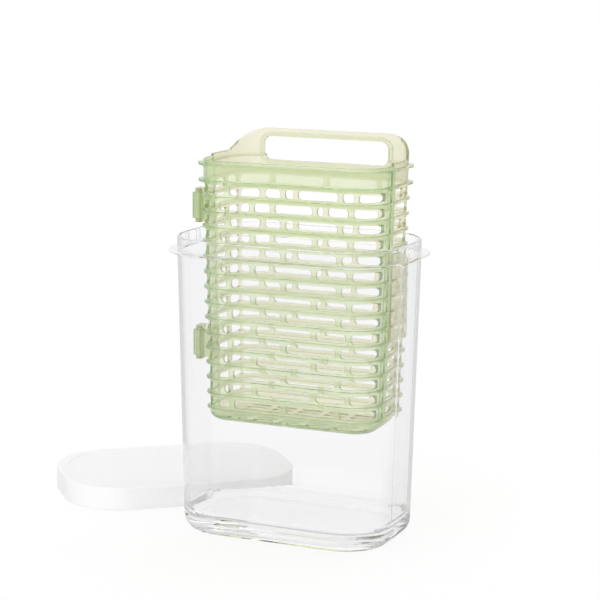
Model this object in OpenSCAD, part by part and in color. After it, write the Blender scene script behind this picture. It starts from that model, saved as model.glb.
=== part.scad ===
// Herb keeper: a clear tumbler, a loose lid, and a lift-out basket whose front half opens like a door.
// Millimetres, +Z up. The origin is the centre of the tumbler's base. X runs along its long side.

/* [Tumbler] */
// How much longer the tumbler is than the basket, outside at the rim
end_room = 26; // [25:1:40]
// How much deeper the tumbler is than the basket, outside at the rim
side_room = 26; // [23:1:40]
// Height from the table to the rim
tumbler_height = 191; // [185:1:220]
// Corner radius at the rim, seen from above
tumbler_corner = 35; // [30:1:40]
// Wall thickness
tumbler_wall = 2; // [1.6:0.1:2.4]
// How far each wall leans in from the flange to the base
tumbler_lean = 4.3; // [3:0.1:4.6]
// Thickness of the base
base_thickness = 12; // [5:0.5:12.5]
// Radius of the outer edge of the base
base_edge = 10; // [6:0.5:12]
// Radius where the inside of the walls meets the base
inner_edge = 5; // [3:0.5:7]
// Height of the neck above the flange
neck_height = 10; // [8:0.5:12]
// How far the flange stands out
flange_reach = 5.4; // [4:0.1:6]
// Thickness of the flange
flange_thickness = 1.6; // [1.2:0.1:2.2]
// Height of the four guide ribs on the ends of the neck
guide_height = 6.5; // [4:0.5:7]

/* [Lid] */
// Height of the lid
lid_height = 15; // [13:0.5:18]
// Thickness of the top and the skirt
lid_wall = 2; // [1.6:0.1:2.4]
// How far the skirt stays back from the flange's edge
lid_setback = 0.5; // [0.2:0.1:1]
// Radius of the lid's top edge
lid_edge = 1.2; // [0.6:0.1:1.8]
// Width of the raised border round the sunk top
lid_border = 8; // [6:0.5:12]
// Depth of the sunk top
lid_sink = 0.6; // [0.3:0.1:1]
// Depth of the ring that seals in the tumbler's mouth
seal_depth = 6; // [4:0.5:8]
// Thickness of the sealing ring
seal_thickness = 1.5; // [1.2:0.1:2]
// Play between the sealing ring and the tumbler
seal_play = 0.5; // [0.3:0.1:0.8]
// How far the lid's middle lies beyond the tumbler's end
lid_aside = 44; // [43.5:0.5:80]
// How far the lid's middle lies behind the tumbler's back
lid_behind = 11.5; // [11:0.5:50]
// How far the lid is turned as it lies on the table
lid_turn = 40.5; // [30:0.5:50]

/* [Basket] */
// Length of the basket at its rim
basket_length = 124; // [118:1:140]
// Depth of the basket at its rim
basket_depth = 71; // [66:1:85]
// Height of the basket from its foot to its rim
basket_height = 166.4; // [160:0.2:167]
// Corner radius of the basket, seen from above
basket_corner = 21; // [18:0.5:24]
// Wall thickness of the basket
basket_wall = 1.7; // [1.4:0.1:2.2]
// How far each wall leans in from rim to foot
basket_lean = 4.9; // [3.5:0.1:6]
// Radius of the basket's foot
foot_edge = 6; // [5:0.2:7]
// Thickness of the basket's floor
floor_thickness = 2; // [1.4:0.1:3]
// Offset along X that shares the room between hinge and latch
basket_shift = 4; // [2:0.5:4.5]
// Height at which the basket is held above the table
basket_raised = 73.4; // [40:0.2:90]

/* [Rings and slots] */
// How far the top edge stands above the first flange
rim_lip = 2.8; // [2:0.1:4]
// How much higher the back half's top edge stands than the front half's
rim_step = 1.5; // [0.5:0.1:2.5]
// Distance from the first flange down to the second
band_height = 10.4; // [9:0.1:12]
// How far the two flanges stand out
flange_out = 3.2; // [2.5:0.1:3.6]
// Thickness of the two flanges
flange_rib = 1.8; // [1.4:0.1:2.2]
// How far the rings stand out
ring_out = 1.6; // [1:0.1:2]
// Thickness of a ring
ring_rib = 1.5; // [1:0.1:1.9]
// Distance between rings
ring_pitch = 9.7; // [9.5:0.1:10]
// Number of rows of slots
rows = 15; // [10:1:15]
// Height of a slot
slot_height = 5.8; // [4:0.1:6.4]
// Radius of a slot's corners
slot_corner = 2; // [1:0.1:2]
// Width of the bars between slots
bar_width = 3.2; // [2.4:0.1:4]
// Distance from the middle bar to the next in odd rows
odd_bar = 38.5; // [36:0.5:40]
// Distance from the middle to the first bar in even rows
even_bar = 21.5; // [18:0.5:24]
// Distance from the middle to the second bar in even rows
even_outer_bar = 45.5; // [42:0.5:48]
// Length of the drain slots in the floor
drain_length = 14; // [8:0.5:15]
// Width of the drain slots in the floor
drain_width = 3; // [2:0.1:3.4]

/* [Handle] */
// Height of the handle above the basket's rim
handle_rise = 15; // [12:0.5:15]
// Length along X over which each end of the handle slopes down to the rim
handle_shoulder = 21; // [16:0.5:24]
// How hollow the slope of the handle runs round the corner, 1 being straight
handle_hollow = 1.35; // [1:0.05:1.6]
// Width of the finger slot
finger_width = 87; // [70:1:88]
// How far the middle of the finger slot lies off the basket's middle, towards the hinge
finger_offset = 1; // [0:0.5:2]
// Height of the finger slot
finger_height = 15.5; // [12:0.5:16]
// Radius of the finger slot's corners
finger_corner = 5; // [3:0.5:7]
// Material left above the finger slot
finger_top = 5.2; // [4:0.2:8]
// Width of the raised lip round the finger slot
lip_width = 2.4; // [1.6:0.2:3]
// How far the lip stands out on each side of the wall
lip_out = 1.2; // [0.8:0.1:1.6]

/* [Hinge and latch] */
// Where the two halves part at the hinge end, along Y
hinge_seam_y = -8; // [-8.2:0.1:-6]
// Where the two halves part at the latch end, along Y
latch_seam_y = -7; // [-8:0.5:-4]
// Gap between the two halves
seam_gap = 0.4; // [0.3:0.05:0.6]
// How far forward of the middle the hinge pin stands
hinge_forward = 12.5; // [11:0.5:14]
// How far the pin stands out from the wall
hinge_out = 6.4; // [5.8:0.1:7]
// Radius of the hinge pin
pin_r = 1.4; // [1:0.1:1.6]
// Radius of the clip round the pin
clip_r = 4; // [3:0.1:4.2]
// Play between pin and clip
pin_play = 0.1; // [0.05:0.01:0.15]
// Thickness of the arms that carry the pins and the clips
arm_thickness = 2; // [1.6:0.1:2.4]
// Height of a clip
clip_height = 16.2; // [12:0.2:18]
// Thickness of an ear
ear_thickness = 2.4; // [1.6:0.1:3]
// Gap between a clip and an ear
ear_gap = 0.35; // [0.3:0.05:0.6]
// Middle of the upper hinge above the basket's foot
upper_hinge_z = 135; // [125:1:138]
// Middle of the lower hinge above the basket's foot
lower_hinge_z = 46.5; // [40:1:60]
// Width of the strip along the front half's closing edge
strip_width = 4; // [2:0.5:6]
// How far the closing strip stands out
strip_out = 1.2; // [1:0.1:3]
// Height of the latch tab
tab_height = 54; // [40:1:60]
// Lower edge of the latch tab above the basket's foot
tab_z = 57.5; // [50:0.5:62]
// Thickness of the latch tab
tab_thickness = 1.8; // [1.4:0.1:2.2]
// How far the latch tab stands out at its free edge
tab_out = 3.6; // [2.5:0.1:4.4]
// How far back the latch tab reaches from the seam
tab_reach = 15; // [12:0.5:18]

/* [Hidden] */
$fn = 64;

eps = 0.05;

// Tumbler, from the table up
tumbler_length = basket_length + end_room;
tumbler_depth = basket_depth + side_room;
base_inset = max(base_edge, tumbler_wall + inner_edge);
flange_top = tumbler_height - neck_height + flange_thickness;
flange_low = tumbler_height - neck_height;
guide_reach = flange_reach - lid_setback - lid_wall - 0.5;
guide_thickness = 1.6;
guide_spread = 8;

// Lid
lid_length = tumbler_length + 2 * (flange_reach - lid_setback);
lid_depth = tumbler_depth + 2 * (flange_reach - lid_setback);
lid_corner = tumbler_corner + flange_reach - lid_setback;
lid_x = -tumbler_length / 2 - lid_aside;
lid_y = tumbler_depth / 2 + lid_behind;

// Basket, from its own foot up
handle_top = basket_height + handle_rise;
back_top = basket_height + rim_step;
handle_base_z = back_top - basket_wall;
first_flange_z = basket_height - rim_lip;
second_flange_z = first_flange_z - band_height;
drain_row_z = foot_edge / 2 + 0.5;
drain_row_height = 2.4;
drain_row_share = 0.86;
drain_step_x = drain_length + 4;
drain_step_y = drain_width + 4.6;
half_length = basket_length / 2;
half_depth = basket_depth / 2;
lean_angle = atan(basket_lean / basket_height);
seam_turn = atan((latch_seam_y - hinge_seam_y) / basket_length);
seam_middle = (hinge_seam_y + latch_seam_y) / 2;
hinge_back_seam = hinge_seam_y + seam_gap / 2;
latch_back_seam = latch_seam_y + seam_gap / 2;
latch_front_seam = latch_seam_y - seam_gap / 2;
corner_start = half_depth - basket_corner;
front_slot_margins = [0.4, 1.2];
back_slot_margins = [4, 4];
hinge_slot_start = hinge_back_seam + 1.8;
latch_slot_start = latch_back_seam + 3.5;
end_slot_bar = 11;
end_slot_stop = corner_start + 9;
pin_x = -half_length - hinge_out;
ear_r = pin_r + 1;

// How far the basket's wall has leaned in at height z
function lean_at(z) = -basket_lean * max(1 - z / basket_height, 0);
// How far the tumbler's wall has leaned in at height z
function tumbler_lean_at(z) = -tumbler_lean * max(1 - z / flange_low, 0);
// Points on an arc, from angle a to angle b
function arc(x, y, r, a, b, steps = 6) =
    [for (i = [0:steps]) [x + r * cos(a + (b - a) * i / steps), y + r * sin(a + (b - a) * i / steps)]];
// A rectangle with round corners, centred on x and y
function round_rect(w, h, r, steps = 3) = concat(
    arc(w / 2 - r, h / 2 - r, r, 0, 90, steps), arc(r - w / 2, h / 2 - r, r, 90, 180, steps),
    arc(r - w / 2, r - h / 2, r, 180, 270, steps), arc(w / 2 - r, r - h / 2, r, 270, 360, steps));

// A flat plate with round corners
module round_plate(length, depth, r, height) {
    linear_extrude(height) {
        square([length - 2 * r, depth], center = true);
        square([length, depth - 2 * r], center = true);
        for (x = [-1, 1], y = [-1, 1])
            translate([x * (length / 2 - r), y * (depth / 2 - r)]) circle(r);
    }
}

// Carries a profile round a rectangle with round corners. The profile's x is measured
// outwards from the rectangle's edge and its y is the height.
module carry_round(length, depth, r) {
    run_x = length - 2 * r;
    run_y = depth - 2 * r;
    for (turn = [0:3]) rotate(90 * turn) {
        side = turn % 2 == 0 ? length / 2 : depth / 2;
        across = turn % 2 == 0 ? depth / 2 : length / 2;
        run = turn % 2 == 0 ? run_y : run_x;
        translate([side - r, across - r, 0]) rotate_extrude(angle = 90) translate([r, 0]) children();
        translate([side, run / 2, 0]) rotate([90, 0, 0]) linear_extrude(run) children();
    }
}

// Section of the tumbler's wall, neck, flange and rounded base edge
module tumbler_section() {
    foot_x = -tumbler_lean;
    half_flange = flange_thickness / 2;
    polygon(concat(
        arc(foot_x - base_edge, base_edge, base_edge, 270, 360),
        [[0, flange_low], [flange_reach - half_flange, flange_low]],
        arc(flange_reach - half_flange, flange_low + half_flange, half_flange, -90, 90, 4),
        [[0, flange_top], [0, tumbler_height - tumbler_wall / 2]],
        arc(-tumbler_wall / 2, tumbler_height - tumbler_wall / 2, tumbler_wall / 2, 0, 180, 6),
        [[-tumbler_wall, flange_low]],
        arc(foot_x - tumbler_wall - inner_edge, base_thickness + inner_edge, inner_edge, 0, -90),
        [[foot_x - base_inset - eps, base_thickness], [foot_x - base_inset - eps, 0]]));
}

// The clear tumbler
module container() {
    color([0.9, 0.92, 0.95, 0.35]) {
        carry_round(tumbler_length, tumbler_depth, tumbler_corner) tumbler_section();
        inset = 2 * (tumbler_lean + base_inset);
        round_plate(tumbler_length - inset, tumbler_depth - inset, tumbler_corner - inset / 2,
            base_thickness);
        for (x = [-1, 1], y = [-1, 1])
            translate([x * (tumbler_length / 2 + guide_reach / 2 - eps), y * guide_spread, flange_top - eps])
                translate([0, 0, guide_height / 2])
                    cube([guide_reach, guide_thickness, guide_height], center = true);
    }
}

// Section of the lid's skirt, raised border and sealing ring
module lid_section() {
    seal_x = -(flange_reach - lid_setback) - tumbler_wall - seal_play;
    polygon(concat(
        [[-lid_wall, 0], [0, 0]],
        arc(-lid_edge, lid_height - lid_edge, lid_edge, 0, 90),
        [[-lid_border, lid_height], [-lid_border - lid_sink, lid_height - lid_sink],
         [-lid_border - 2 * lid_wall, lid_height - lid_sink],
         [-lid_border - 2 * lid_wall, lid_height - lid_wall - lid_sink],
         [seal_x - seal_thickness, lid_height - lid_wall - lid_sink],
         [seal_x - seal_thickness, lid_height - lid_wall - seal_depth],
         [seal_x, lid_height - lid_wall - seal_depth],
         [seal_x, lid_height - lid_wall], [-lid_wall, lid_height - lid_wall]]));
}

// The lid, lying on the table beside the tumbler
module lid() {
    inset = 2 * (lid_border + 2 * lid_wall) - 2 * eps;
    color([0.95, 0.95, 0.96, 0.9]) translate([lid_x, lid_y, 0]) rotate(lid_turn) {
        carry_round(lid_length, lid_depth, lid_corner) lid_section();
        translate([0, 0, lid_height - lid_wall - lid_sink])
            round_plate(lid_length - inset, lid_depth - inset, lid_corner - inset / 2, lid_wall);
    }
}

// Section of the basket's wall, with its rounded foot, its rings, its two flanges and its top edge
module basket_section(top_z) {
    foot_x = -basket_lean;
    function rib(z, out, thick) = [[lean_at(z - thick / 2), z - thick / 2],
        [lean_at(z - thick / 2) + out, z - thick / 2 + thick / 6],
        [lean_at(z + thick / 2) + out, z + thick / 2 - thick / 6], [lean_at(z + thick / 2), z + thick / 2]];
    polygon(concat(
        arc(foot_x - foot_edge, foot_edge, foot_edge, 270, 360),
        [for (i = [rows:-1:1]) each rib(second_flange_z - i * ring_pitch, ring_out, ring_rib)],
        rib(second_flange_z, flange_out, flange_rib), rib(first_flange_z, flange_out, flange_rib),
        arc(-basket_wall / 2, top_z - basket_wall / 2, basket_wall / 2, 0, 180, 4),
        arc(foot_x - foot_edge, foot_edge, foot_edge - basket_wall, 0, -90)));
}

// The openings seen from the front: every other row has its bars shifted, like bricks
module slot_pattern(margins) {
    for (i = [1:rows]) {
        z = second_flange_z - (i - 0.5) * ring_pitch;
        share = (half_length + lean_at(z)) / half_length;
        row_of_slots(z, slot_height, slot_corner, i % 2, share, margins);
    }
    row_of_slots(drain_row_z, drain_row_height, drain_row_height / 2 - eps, 1, drain_row_share, [1.2, 1.2]);
}

// One row of openings, with its bars drawn in by the given share. The margins are at the hinge
// end and at the latch end.
module row_of_slots(z, height, corner, odd, share, margins) {
    first = margins[0] - half_length;
    last = half_length - margins[1];
    bars = odd == 1 ? [first, -odd_bar, 0, odd_bar, last]
        : [first, -even_outer_bar, -even_bar, even_bar, even_outer_bar, last];
    for (k = [0:len(bars) - 2]) {
        left = bars[k] * share + (k == 0 ? 0 : bar_width / 2);
        right = bars[k + 1] * share - (k == len(bars) - 2 ? 0 : bar_width / 2);
        translate([(left + right) / 2, z]) polygon(round_rect(right - left, height, corner));
    }
}

// The openings in one end wall of the back half, with a bar in every other row
module end_slots(near_x, first) {
    for (i = [1:rows]) {
        stops = i % 2 == 1 ? [first, end_slot_bar, end_slot_stop] : [first, end_slot_stop];
        for (k = [0:len(stops) - 2]) {
            start = stops[k] + (k == 0 ? 0 : bar_width / 2);
            stop = stops[k + 1] - (k == len(stops) - 2 ? 0 : bar_width / 2);
            translate([near_x, (start + stop) / 2, second_flange_z - (i - 0.5) * ring_pitch])
                rotate([90, 0, 90]) linear_extrude(basket_corner)
                    polygon(round_rect(stop - start, slot_height, slot_corner));
        }
    }
}

// The basket's closed shell up to a top edge: walls, foot and floor with its drain slots
module basket_shell(top_z) {
    inset = 2 * (basket_lean + foot_edge) - 2 * eps;
    carry_round(basket_length, basket_depth, basket_corner) basket_section(top_z);
    difference() {
        round_plate(basket_length - inset, basket_depth - inset, basket_corner - inset / 2,
            floor_thickness);
        for (x = [-2:2], y = [-2, -1, 1, 2, 3])
            translate([x * drain_step_x, seam_middle + y * drain_step_y, -eps])
                linear_extrude(floor_thickness + 2 * eps)
                    polygon(round_rect(drain_length, drain_width, drain_width / 2 - eps));
    }
}

// The space on one side of the seam. side is -1 for the front and 1 for the back
module half_space(side) {
    reach = basket_length + 40;
    translate([0, seam_middle + side * seam_gap / 2, -10]) rotate(seam_turn)
        translate([-reach / 2, side < 0 ? -reach : 0, 0]) cube([reach, reach, handle_top + 40]);
}

// The slots cut through one long face and its corners
module face_slots(side) {
    near = corner_start + 3;
    translate([0, side < 0 ? -near : half_depth + 10, 0]) rotate([90, 0, 0])
        linear_extrude(half_depth + 10 - near)
            slot_pattern(side < 0 ? front_slot_margins : back_slot_margins);
}

// The back half: wall, handle, hinge ears and latch tab, where the hand holds it
module basket_back() {
    color([0.86, 0.9, 0.74, 0.6]) translate([basket_shift, 0, basket_raised]) {
        difference() {
            intersection() {
                basket_shell(back_top);
                half_space(1);
            }
            face_slots(1);
            end_slots(-half_length - 5, hinge_slot_start);
            end_slots(half_length + 5 - basket_corner, latch_slot_start);
            finger_hole();
        }
        handle();
        for (z = [upper_hinge_z, lower_hinge_z]) translate([0, 0, z]) hinge_ears(lean_at(z));
        latch_tab();
    }
}

// Outline of the finger slot, seen from the front
module finger_outline(grow = 0) {
    translate([-finger_offset, handle_top - finger_top - finger_height / 2])
        polygon(round_rect(finger_width + 2 * grow, finger_height + 2 * grow, finger_corner + grow, 6));
}

// The finger slot, cut through the back wall
module finger_hole() {
    translate([0, half_depth + 10, 0]) rotate([90, 0, 0]) linear_extrude(basket_corner + 10)
        finger_outline();
}

// The lifting handle: the back wall carried up, sloping down round the corners, with a lipped
// finger slot
module handle() {
    inner_length = basket_length - 2 * basket_wall;
    inner_depth = basket_depth - 2 * basket_wall;
    difference() {
        intersection() {
            translate([0, 0, handle_base_z]) difference() {
                round_plate(basket_length, basket_depth, basket_corner, handle_rise + basket_wall);
                translate([0, 0, -eps])
                    round_plate(inner_length, inner_depth, basket_corner - basket_wall, handle_rise + 10);
            }
            translate([0, half_depth + 10, 0]) rotate([90, 0, 0]) linear_extrude(half_depth + 10)
                handle_outline();
            translate([-half_length - 5, 0, 0]) rotate([90, 0, 90]) linear_extrude(basket_length + 10)
                handle_slope();
        }
        finger_hole();
    }
    intersection() {
        translate([0, half_depth + lip_out, 0]) rotate([90, 0, 0]) linear_extrude(basket_wall + 2 * lip_out)
            difference() {
                finger_outline(lip_width);
                finger_outline();
            }
        translate([0, 0, second_flange_z])
            round_plate(basket_length + 2 * lip_out, basket_depth + 2 * lip_out,
                basket_corner + lip_out, handle_top);
    }
}

// Outline of the handle, seen from the front
module handle_outline() {
    flat = half_length - handle_shoulder;
    ends = [for (i = [0:12])
        [flat + handle_shoulder * cos(7.5 * i), basket_height + handle_rise * sin(7.5 * i)]];
    polygon(concat([[-half_length, basket_height - 5], [half_length, basket_height - 5]],
        ends, [for (i = [12:-1:0]) [-ends[i][0], ends[i][1]]]));
}

// Outline of the handle's slope, seen from the end
module handle_slope() {
    run = half_depth - basket_wall - corner_start;
    polygon(concat([[corner_start, basket_height - 5]],
        [for (i = [0:12])
            [corner_start + run * i / 12, basket_height + handle_rise * pow(i / 12, handle_hollow)]],
        [[half_depth + 5, handle_top], [half_depth + 5, basket_height - 5]]));
}

// Two ears with a pin between them, and the arm that carries them from the back half's end wall
module hinge_ears(lean) {
    inner = clip_height / 2 + ear_gap;
    total = inner + ear_thickness;
    wall_reach = hinge_out - lean + basket_wall / 2;
    for (side = [-1, 1]) translate([pin_x, -hinge_forward, side * (inner + ear_thickness / 2)]) {
        cylinder(h = ear_thickness, r = ear_r, center = true);
        translate([-ear_r, 0, -ear_thickness / 2])
            cube([2 * ear_r, hinge_forward + hinge_back_seam + arm_thickness, ear_thickness]);
    }
    translate([pin_x, -hinge_forward, -total]) cylinder(h = 2 * total, r = pin_r);
    translate([pin_x - ear_r, hinge_back_seam, -total])
        cube([ear_r + wall_reach, arm_thickness, 2 * total]);
}

// A clip that snaps on the pin, with its arm to the front half's end wall
module hinge_clip(lean) {
    wall_reach = hinge_out - lean + basket_wall / 2;
    mouth = 1.5 * pin_r;
    translate([0, 0, -clip_height / 2]) difference() {
        union() {
            translate([pin_x, -hinge_forward, 0]) cylinder(h = clip_height, r = clip_r);
            translate([pin_x, -hinge_forward - clip_r, 0]) cube([wall_reach, arm_thickness, clip_height]);
        }
        translate([pin_x, -hinge_forward, -1]) cylinder(h = clip_height + 2, r = pin_r + pin_play);
        translate([pin_x - mouth / 2, -hinge_forward, -1]) cube([mouth, clip_r + 1, clip_height + 2]);
    }
}

// The springy tab that holds the door shut: it starts at the seam and stands away from the wall
module latch_tab() {
    start_x = half_length + lean_at(tab_z + tab_height) - 0.6;
    translate([start_x, latch_back_seam, tab_z]) rotate(-atan(tab_out / tab_reach)) {
        rotate([90, 0, 90]) linear_extrude(tab_thickness)
            polygon(concat([[0, -3]], arc(3, -3, 3, 180, 90, 4), arc(tab_reach - 2, 2, 2, -90, 0, 4),
                arc(tab_reach - 5, tab_height - 5, 5, 0, 90, 6), [[0, tab_height]]));
    }
}

// The strip that stiffens the front half's closing edge, from the foot to the first flange
module closing_strip() {
    near_x = half_length + lean_at(foot_edge) - basket_wall / 2;
    translate([near_x, latch_front_seam - strip_width - eps, foot_edge]) rotate([0, lean_angle, 0])
        cube([basket_wall / 2 + strip_out, strip_width, first_flange_z - foot_edge]);
}

// The front half: the door, with its closing strip and its two clips
module basket_front() {
    color([0.7, 0.85, 0.62, 0.6]) translate([basket_shift, 0, basket_raised]) {
        difference() {
            intersection() {
                basket_shell(basket_height);
                half_space(-1);
            }
            face_slots(-1);
        }
        closing_strip();
        for (z = [upper_hinge_z, lower_hinge_z]) translate([0, 0, z]) hinge_clip(lean_at(z));
    }
}

container();
lid();
basket_back();
basket_front();
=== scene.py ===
"""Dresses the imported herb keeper: a clear tumbler, a frosted lid and a slotted two-part basket.

The CAD nodes keep their shapes. Each gets its plastic here, and the floor, the light and the camera are set.
"""

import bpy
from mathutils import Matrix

bl_info = {
    "name": "Herb Keeper",
    "version": (1, 0, 0),
    "blender": (4, 5, 0),
    "location": "3D View > Sidebar > Herb Keeper",
    "description": "Finishes a clear tumbler with a frosted lid and a translucent slotted basket",
    "category": "Object",
}

from math import cos, log, sin

import bpy
from mathutils import Matrix, Vector

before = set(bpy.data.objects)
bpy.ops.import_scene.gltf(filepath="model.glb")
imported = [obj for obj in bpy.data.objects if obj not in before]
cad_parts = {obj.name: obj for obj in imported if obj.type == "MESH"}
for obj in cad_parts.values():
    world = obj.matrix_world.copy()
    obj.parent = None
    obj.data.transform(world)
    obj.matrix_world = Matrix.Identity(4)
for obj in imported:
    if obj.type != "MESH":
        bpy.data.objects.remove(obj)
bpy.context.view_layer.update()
MM = 0.001

# Noise on a piece's own coordinates: its scale and detail, and the range in which most of its values lie
TUMBLER_FLOW = {"scale": 9.0, "detail": 1.0}
TUMBLER_SCUFF = {"scale": 260.0, "detail": 4.0}
LID_CLOUD = {"scale": 22.0, "detail": 3.0}
LID_ETCHING = {"scale": 1800.0, "detail": 2.0}
BASKET_CLOUD = {"scale": 30.0, "detail": 3.0}
BASKET_GRAIN = {"scale": 420.0, "detail": 3.0}
NOISE_LOW, NOISE_HIGH = 0.3, 0.7

# Relief of the faces, in metres
TUMBLER_RIPPLE = {"strength": 0.05, "distance": 2.0 * MM}
LID_RELIEF = {"strength": 0.12, "distance": 0.2 * MM}
BASKET_RELIEF = {"strength": 0.06, "distance": 0.3 * MM}

# Roughness of the faces: smoothest and dullest places, and how far the basket's goes above its gloss
TUMBLER_ROUGH = (0.0, 0.03)
LID_ROUGH = (0.42, 0.52)
BASKET_ROUGH_SPREAD = 0.05

# What the cloudy places of a face keep of its colour
LID_SHADE = 0.985
BASKET_SHADE = 0.97

# Refraction, the share of light that enters the lid, and what a face passes on to shadows
CLEAR_INDEX = 1.49
BASKET_INDEX = 1.45
LID_GLOW = 0.10
TUMBLER_FILM = 0.985
BASKET_FILM = 0.96

# The run inside the basket's plastic that its depth colours stand for, and the mirrorings after which light
# counts as caught inside the plastic
DEPTH = 10 * MM
MOST_TURNS = 2.5

# Floor and backdrop
FLOOR_DROP = 0.2 * MM
FLOOR_COLOUR = (0.95, 0.95, 0.955)
BLACK = (0.0, 0.0, 0.0)
FULL_WHITE = 1.0

# Lamps: where they come from, and how broad they are, in radians
KEY_FROM, KEY_BREADTH = (-0.1, -0.6, 1.3), 0.7
BACK_FROM, BACK_BREADTH = (0.3, 1.0, 1.0), 0.9
FRONT_FROM, FRONT_BREADTH = (-0.1, -1.0, 0.35), 0.9
BACK_SHARE = 0.5

# Camera: width of its sensor in millimetres, and how far it sees
SENSOR = 36.0
CLIP_END = 100.0


# ---------------------------------------------------------------- settings


class HerbKeeperPlastics(bpy.types.PropertyGroup):
    """Colours and gloss of the mouldings."""

    clear: bpy.props.FloatVectorProperty(
        name="Clear plastic", description="Tint of the tumbler", subtype="COLOR",
        default=(0.985, 0.985, 0.992), min=0.0, max=1.0)
    frosted: bpy.props.FloatVectorProperty(
        name="Frosted plastic", description="Colour of the lid", subtype="COLOR",
        default=(0.975, 0.975, 0.985), min=0.0, max=1.0)
    pale: bpy.props.FloatVectorProperty(
        name="Pale plastic", description="Surface colour of the basket's back half", subtype="COLOR",
        default=(0.995, 0.96, 0.875), min=0.0, max=1.0)
    pale_depth: bpy.props.FloatVectorProperty(
        name="Pale depth", description="What is left of white light after 10 mm of the back half's plastic",
        subtype="COLOR", default=(0.56, 0.65, 0.37), min=0.0, max=1.0)
    green: bpy.props.FloatVectorProperty(
        name="Green plastic", description="Surface colour of the basket's front half", subtype="COLOR",
        default=(0.98, 0.958, 0.85), min=0.0, max=1.0)
    green_depth: bpy.props.FloatVectorProperty(
        name="Green depth", description="What is left of white light after 10 mm of the front half's plastic",
        subtype="COLOR", default=(0.37, 0.62, 0.27), min=0.0, max=1.0)
    gloss: bpy.props.FloatProperty(
        name="Gloss roughness", description="Roughness of the basket's smoothest places",
        default=0.05, min=0.0, max=1.0)
    milk: bpy.props.FloatProperty(
        name="Milkiness", description="Share of the basket's surface that scatters light",
        default=0.16, min=0.0, max=1.0)


class HerbKeeperStudio(bpy.types.PropertyGroup):
    """Camera, lamps and floor."""

    azimuth: bpy.props.FloatProperty(
        name="Azimuth", description="Turn of the camera round the tumbler", subtype="ANGLE",
        default=0.41380)
    elevation: bpy.props.FloatProperty(
        name="Elevation", description="Height of the camera above the horizon", subtype="ANGLE",
        default=0.18010)
    roll: bpy.props.FloatProperty(
        name="Roll", description="Lean of the camera", subtype="ANGLE", default=0.00840)
    distance: bpy.props.FloatProperty(
        name="Distance", description="From the camera to the point it looks at", unit="LENGTH",
        default=1.3135)
    aim: bpy.props.FloatVectorProperty(
        name="Aim", description="The point the camera looks at", subtype="XYZ", unit="LENGTH",
        default=(0.00087, 0.0, 0.1501))
    focal: bpy.props.FloatProperty(
        name="Focal length", description="Focal length in millimetres", default=124.396, min=1.0)
    room_light: bpy.props.FloatProperty(
        name="Room light", description="Strength of the even light all round", default=1.2, min=0.0)
    room_shade: bpy.props.FloatProperty(
        name="Room shade", description="Strength of the light in front of the side flags",
        default=0.34, min=0.0)
    flag_inner: bpy.props.FloatProperty(
        name="Flag start", description="Cosine off the sideways direction at which the flags begin",
        default=0.72, min=0.0, max=1.0)
    flag_outer: bpy.props.FloatProperty(
        name="Flag full", description="Cosine off the sideways direction at which the flags are full",
        default=0.93, min=0.0, max=1.0)
    room_dim: bpy.props.FloatProperty(
        name="Room dim", description="How much darker the room shows in reflections",
        default=0.08, min=0.0, max=1.0)
    floor_dim: bpy.props.FloatProperty(
        name="Floor dim", description="How much darker the floor shows in reflections",
        default=0.27, min=0.0, max=1.0)
    key_light: bpy.props.FloatProperty(
        name="Key light", description="Strength of the broad light from above and in front",
        default=0.3, min=0.0)
    front_light: bpy.props.FloatProperty(
        name="Front light", description="Strength of the broad low light from the front",
        default=0.6, min=0.0)
    floor_size: bpy.props.FloatProperty(
        name="Floor", description="Side of the floor", unit="LENGTH", default=30.0)
    floor_white: bpy.props.FloatProperty(
        name="Floor white", description="How far the floor is lifted to the white of the backdrop",
        default=0.65, min=0.0, max=1.0)


# ---------------------------------------------------------------- node helpers


def new_material(name):
    """An empty node material with its output."""
    material = bpy.data.materials.new(name)
    material.use_nodes = True
    material.node_tree.nodes.clear()
    output = material.node_tree.nodes.new("ShaderNodeOutputMaterial")
    return material, material.node_tree.nodes, material.node_tree.links, output


def object_noise(nodes, links, scale, detail):
    """Noise on the piece's own coordinates."""
    place = nodes.new("ShaderNodeTexCoord")
    noise = nodes.new("ShaderNodeTexNoise")
    noise.inputs["Scale"].default_value = scale
    noise.inputs["Detail"].default_value = detail
    links.new(place.outputs["Object"], noise.inputs["Vector"])
    return noise.outputs["Fac"]


def spread(nodes, links, value, low, high):
    """Stretches a noise value to the range low to high."""
    node = nodes.new("ShaderNodeMapRange")
    node.inputs["From Min"].default_value = NOISE_LOW
    node.inputs["From Max"].default_value = NOISE_HIGH
    node.inputs["To Min"].default_value = low
    node.inputs["To Max"].default_value = high
    links.new(value, node.inputs["Value"])
    return node.outputs["Result"]


def relief(nodes, links, height, shader, strength, distance):
    """Raises and sinks the shader's surface by the given height."""
    node = nodes.new("ShaderNodeBump")
    node.inputs["Strength"].default_value = strength
    node.inputs["Distance"].default_value = distance
    links.new(height, node.inputs["Height"])
    links.new(node.outputs["Normal"], shader.inputs["Normal"])


def clouded(nodes, links, shader, colour, shade, cloud):
    """Gives the shader a colour that is a little darker in cloudy places."""
    tone = nodes.new("ShaderNodeMix")
    tone.data_type = "RGBA"
    tone.inputs["A"].default_value = (*colour, 1.0)
    tone.inputs["B"].default_value = (*(shade * value for value in colour), 1.0)
    links.new(spread(nodes, links, cloud, 0.0, 1.0), tone.inputs["Factor"])
    links.new(tone.outputs["Result"], shader.inputs["Base Color"])


def math_step(nodes, links, operation, first, second):
    """One arithmetic step, on a socket and another socket or a number."""
    node = nodes.new("ShaderNodeMath")
    node.operation = operation
    links.new(first, node.inputs[0])
    if isinstance(second, float):
        node.inputs[1].default_value = second
    else:
        links.new(second, node.inputs[1])
    return node.outputs["Value"]


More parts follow.
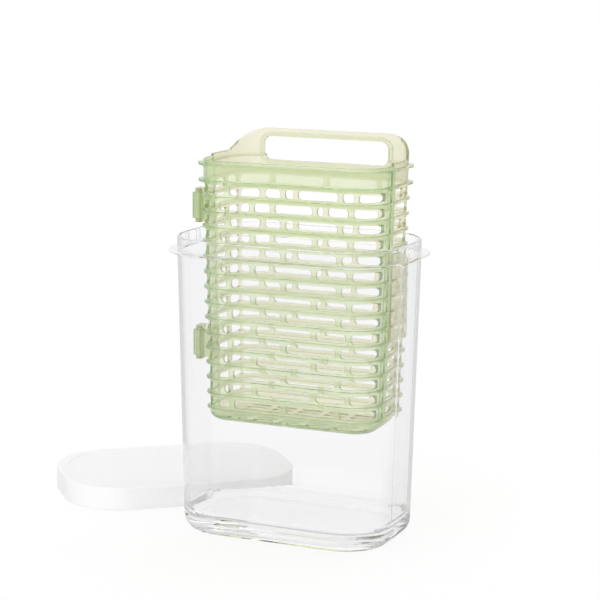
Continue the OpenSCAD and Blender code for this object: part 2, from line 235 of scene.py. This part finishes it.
def mix_shaders(nodes, links, share, first, second):
    """Two shaders mixed: only the first at a share of zero, only the second at one."""
    node = nodes.new("ShaderNodeMixShader")
    for source, socket in zip((share, first, second), node.inputs):
        links.new(source, socket)
    return node.outputs["Shader"]


def let_lamps_through(nodes, links, shader, tint, output):
    """Shows the shader, but passes on light of lamps and of the room, and light that is caught inside."""
    path = nodes.new("ShaderNodeLightPath")
    caught = math_step(nodes, links, "GREATER_THAN", path.outputs["Glossy Depth"], MOST_TURNS)
    lit = math_step(nodes, links, "MAXIMUM", path.outputs["Is Diffuse Ray"], caught)
    light = math_step(nodes, links, "MAXIMUM", path.outputs["Is Shadow Ray"], lit)
    film = nodes.new("ShaderNodeBsdfTransparent")
    film.inputs["Color"].default_value = (*tint, 1.0)
    shown = mix_shaders(nodes, links, light, shader.outputs["BSDF"], film.outputs["BSDF"])
    links.new(shown, output.inputs["Surface"])


def mirror_level(nodes, links, dim):
    """Less than one for a ray that was mirrored on its way, otherwise one, so that clear edges show grey."""
    path = nodes.new("ShaderNodeLightPath")
    level = nodes.new("ShaderNodeMapRange")
    level.inputs["To Min"].default_value = 1.0
    level.inputs["To Max"].default_value = 1.0 - dim
    links.new(path.outputs["Glossy Depth"], level.inputs["Value"])
    return level.outputs["Result"]


# ---------------------------------------------------------------- plastics


def clear_plastic(settings):
    """Polished clear moulding: glassy, with a faint flow in its surface."""
    material, nodes, links, output = new_material("clear_plastic")
    shader = nodes.new("ShaderNodeBsdfPrincipled")
    shader.inputs["Base Color"].default_value = (*settings.clear, 1.0)
    shader.inputs["Transmission Weight"].default_value = 1.0
    shader.inputs["IOR"].default_value = CLEAR_INDEX
    flow = object_noise(nodes, links, **TUMBLER_FLOW)
    scuff = object_noise(nodes, links, **TUMBLER_SCUFF)
    links.new(spread(nodes, links, scuff, *TUMBLER_ROUGH), shader.inputs["Roughness"])
    relief(nodes, links, flow, shader, **TUMBLER_RIPPLE)
    let_lamps_through(nodes, links, shader, [TUMBLER_FILM * value for value in settings.clear], output)
    return material


def frosted_plastic(settings):
    """Milky moulding with a fine etched grain."""
    material, nodes, links, output = new_material("frosted_plastic")
    shader = nodes.new("ShaderNodeBsdfPrincipled")
    cloud = object_noise(nodes, links, **LID_CLOUD)
    clouded(nodes, links, shader, settings.frosted, LID_SHADE, cloud)
    shader.inputs["Transmission Weight"].default_value = LID_GLOW
    shader.inputs["IOR"].default_value = CLEAR_INDEX
    grain = object_noise(nodes, links, **LID_ETCHING)
    links.new(spread(nodes, links, grain, *LID_ROUGH), shader.inputs["Roughness"])
    relief(nodes, links, grain, shader, **LID_RELIEF)
    links.new(shader.outputs["BSDF"], output.inputs["Surface"])
    return material


def translucent_plastic(name, face_colour, depth_colour, settings):
    """Tinted see-through moulding that deepens in colour where light runs a long way inside it."""
    material, nodes, links, output = new_material(name)
    shader = nodes.new("ShaderNodeBsdfPrincipled")
    cloud = object_noise(nodes, links, **BASKET_CLOUD)
    clouded(nodes, links, shader, face_colour, BASKET_SHADE, cloud)
    shader.inputs["Transmission Weight"].default_value = 1.0 - settings.milk
    shader.inputs["IOR"].default_value = BASKET_INDEX
    grain = object_noise(nodes, links, **BASKET_GRAIN)
    rough = spread(nodes, links, grain, settings.gloss, settings.gloss + BASKET_ROUGH_SPREAD)
    links.new(rough, shader.inputs["Roughness"])
    relief(nodes, links, grain, shader, **BASKET_RELIEF)
    let_lamps_through(nodes, links, shader, [BASKET_FILM * value for value in face_colour], output)
    loss = [-log(value) / DEPTH for value in depth_colour]
    depth = nodes.new("ShaderNodeVolumeAbsorption")
    depth.inputs["Color"].default_value = (*(1.0 - value / max(loss) for value in loss), 1.0)
    depth.inputs["Density"].default_value = max(loss)
    links.new(depth.outputs["Volume"], output.inputs["Volume"])
    return material


def dress(node, material):
    """Gives a CAD node its finish."""
    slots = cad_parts[node].data.materials
    slots.clear()
    slots.append(material)


# ---------------------------------------------------------------- pieces


class HerbKeeperTumbler(bpy.types.Operator):
    """Finish the clear tumbler"""

    bl_idname = "herb_keeper.tumbler"
    bl_label = "Tumbler"

    def execute(self, context):
        dress("container", clear_plastic(context.scene.herb_keeper_plastics))
        return {"FINISHED"}


class HerbKeeperLid(bpy.types.Operator):
    """Finish the frosted lid"""

    bl_idname = "herb_keeper.lid"
    bl_label = "Lid"

    def execute(self, context):
        dress("lid", frosted_plastic(context.scene.herb_keeper_plastics))
        return {"FINISHED"}


class HerbKeeperBasketBack(bpy.types.Operator):
    """Finish the basket's back half with its handle"""

    bl_idname = "herb_keeper.basket_back"
    bl_label = "Basket back"

    def execute(self, context):
        plastics = context.scene.herb_keeper_plastics
        dress("basket_back", translucent_plastic(
            "pale_plastic", plastics.pale, plastics.pale_depth, plastics))
        return {"FINISHED"}


class HerbKeeperBasketFront(bpy.types.Operator):
    """Finish the basket's front half, its door"""

    bl_idname = "herb_keeper.basket_front"
    bl_label = "Basket front"

    def execute(self, context):
        plastics = context.scene.herb_keeper_plastics
        dress("basket_front", translucent_plastic(
            "green_plastic", plastics.green, plastics.green_depth, plastics))
        return {"FINISHED"}


# ---------------------------------------------------------------- stage


def diffuse(nodes, colour):
    """A matt shader of the given colour."""
    shader = nodes.new("ShaderNodeBsdfDiffuse")
    shader.inputs["Color"].default_value = (*colour, 1.0)
    return shader.outputs["BSDF"]


def white_floor(settings):
    """A large pale floor that shows as white and keeps the shadow."""
    bpy.ops.mesh.primitive_plane_add(size=settings.floor_size, location=(0.0, 0.0, -FLOOR_DROP))
    floor = bpy.context.object
    floor.name = "floor"
    material, nodes, links, output = new_material("white_floor")
    glow = nodes.new("ShaderNodeEmission")
    glow.inputs["Strength"].default_value = FULL_WHITE
    path = nodes.new("ShaderNodeLightPath")
    seen = math_step(nodes, links, "MAXIMUM",
                     path.outputs["Is Camera Ray"], path.outputs["Is Transmission Ray"])
    share = math_step(nodes, links, "MULTIPLY", seen, settings.floor_white)
    lit = mix_shaders(nodes, links, share, diffuse(nodes, FLOOR_COLOUR), glow.outputs["Emission"])
    level = mirror_level(nodes, links, settings.floor_dim)
    links.new(mix_shaders(nodes, links, level, diffuse(nodes, BLACK), lit), output.inputs["Surface"])
    floor.data.materials.append(material)


def room(settings):
    """Even white light with a darker flag at each side, which draws the edges of clear plastic."""
    world = bpy.context.scene.world or bpy.data.worlds.new("room")
    bpy.context.scene.world = world
    world.use_nodes = True
    nodes, links = world.node_tree.nodes, world.node_tree.links
    nodes.clear()
    output = nodes.new("ShaderNodeOutputWorld")
    place = nodes.new("ShaderNodeTexCoord")
    side = nodes.new("ShaderNodeVectorMath")
    side.operation = "DOT_PRODUCT"
    side.inputs[1].default_value = (cos(settings.azimuth), sin(settings.azimuth), 0.0)
    links.new(place.outputs["Generated"], side.inputs[0])
    either = nodes.new("ShaderNodeMath")
    either.operation = "ABSOLUTE"
    links.new(side.outputs["Value"], either.inputs[0])
    level = nodes.new("ShaderNodeMapRange")
    level.interpolation_type = "SMOOTHSTEP"
    level.inputs["From Min"].default_value = settings.flag_inner
    level.inputs["From Max"].default_value = settings.flag_outer
    level.inputs["To Min"].default_value = settings.room_light
    level.inputs["To Max"].default_value = settings.room_shade
    links.new(either.outputs["Value"], level.inputs["Value"])
    mirrored = mirror_level(nodes, links, settings.room_dim)
    strength = math_step(nodes, links, "MULTIPLY", level.outputs["Result"], mirrored)
    light = nodes.new("ShaderNodeBackground")
    links.new(strength, light.inputs["Strength"])
    white = nodes.new("ShaderNodeBackground")
    white.inputs["Strength"].default_value = FULL_WHITE
    path = nodes.new("ShaderNodeLightPath")
    shown = mix_shaders(nodes, links, path.outputs["Is Camera Ray"],
                        light.outputs["Background"], white.outputs["Background"])
    links.new(shown, output.inputs["Surface"])


def broad_light(name, come_from, strength, breadth):
    """A far, broad light that comes from the given direction."""
    data = bpy.data.lights.new(name, "SUN")
    data.energy = strength
    data.angle = breadth
    item = bpy.data.objects.new(name, data)
    bpy.context.scene.collection.objects.link(item)
    item.location = come_from
    item.rotation_euler = (-Vector(come_from)).to_track_quat("-Z", "Y").to_euler()


def camera(settings):
    """The camera, at the photograph's viewing angle."""
    back = Vector((sin(settings.azimuth) * cos(settings.elevation),
                   -cos(settings.azimuth) * cos(settings.elevation), sin(settings.elevation)))
    right = (-back).cross(Vector((0.0, 0.0, 1.0))).normalized()
    up = right.cross(-back)
    turned_right = right * cos(settings.roll) + up * sin(settings.roll)
    turned_up = up * cos(settings.roll) - right * sin(settings.roll)
    data = bpy.data.cameras.new("camera")
    data.lens = settings.focal
    data.sensor_width = SENSOR
    data.clip_end = CLIP_END
    item = bpy.data.objects.new("camera", data)
    bpy.context.scene.collection.objects.link(item)
    axes = Matrix((turned_right, turned_up, back)).transposed().to_4x4()
    item.matrix_world = Matrix.Translation(Vector(settings.aim) + back * settings.distance) @ axes
    bpy.context.scene.camera = item


class HerbKeeperStage(bpy.types.Operator):
    """Set the floor, the light and the camera"""

    bl_idname = "herb_keeper.stage"
    bl_label = "Stage"

    def execute(self, context):
        settings = context.scene.herb_keeper_studio
        bpy.ops.object.select_all(action="DESELECT")
        white_floor(settings)
        room(settings)
        broad_light("key_light", KEY_FROM, settings.key_light, KEY_BREADTH)
        broad_light("back_light", BACK_FROM, BACK_SHARE * settings.key_light, BACK_BREADTH)
        broad_light("front_light", FRONT_FROM, settings.front_light, FRONT_BREADTH)
        camera(settings)
        context.scene.view_settings.view_transform = "Standard"
        return {"FINISHED"}


class HerbKeeperPanel(bpy.types.Panel):
    """The steps that dress the herb keeper."""

    bl_idname = "VIEW3D_PT_herb_keeper"
    bl_label = "Herb Keeper"
    bl_space_type = "VIEW_3D"
    bl_region_type = "UI"
    bl_category = "Herb Keeper"

    def draw(self, context):
        for step in STEPS:
            self.layout.operator(step.bl_idname)


SETTINGS = {"herb_keeper_plastics": HerbKeeperPlastics, "herb_keeper_studio": HerbKeeperStudio}
STEPS = (HerbKeeperTumbler, HerbKeeperLid, HerbKeeperBasketBack, HerbKeeperBasketFront, HerbKeeperStage)


def register():
    """Add the settings, the steps and the panel."""
    for item in (*SETTINGS.values(), *STEPS, HerbKeeperPanel):
        bpy.utils.register_class(item)
    for name, group in SETTINGS.items():
        setattr(bpy.types.Scene, name, bpy.props.PointerProperty(type=group))


def unregister():
    """Remove the settings, the steps and the panel."""
    for name in SETTINGS:
        delattr(bpy.types.Scene, name)
    for item in reversed((*SETTINGS.values(), *STEPS, HerbKeeperPanel)):
        bpy.utils.unregister_class(item)


def main():
    """Dress the keeper step by step."""
    register()
    bpy.ops.herb_keeper.tumbler()
    bpy.ops.herb_keeper.lid()
    bpy.ops.herb_keeper.basket_back()
    bpy.ops.herb_keeper.basket_front()
    bpy.ops.herb_keeper.stage()


if __name__ == "__main__":
    main()
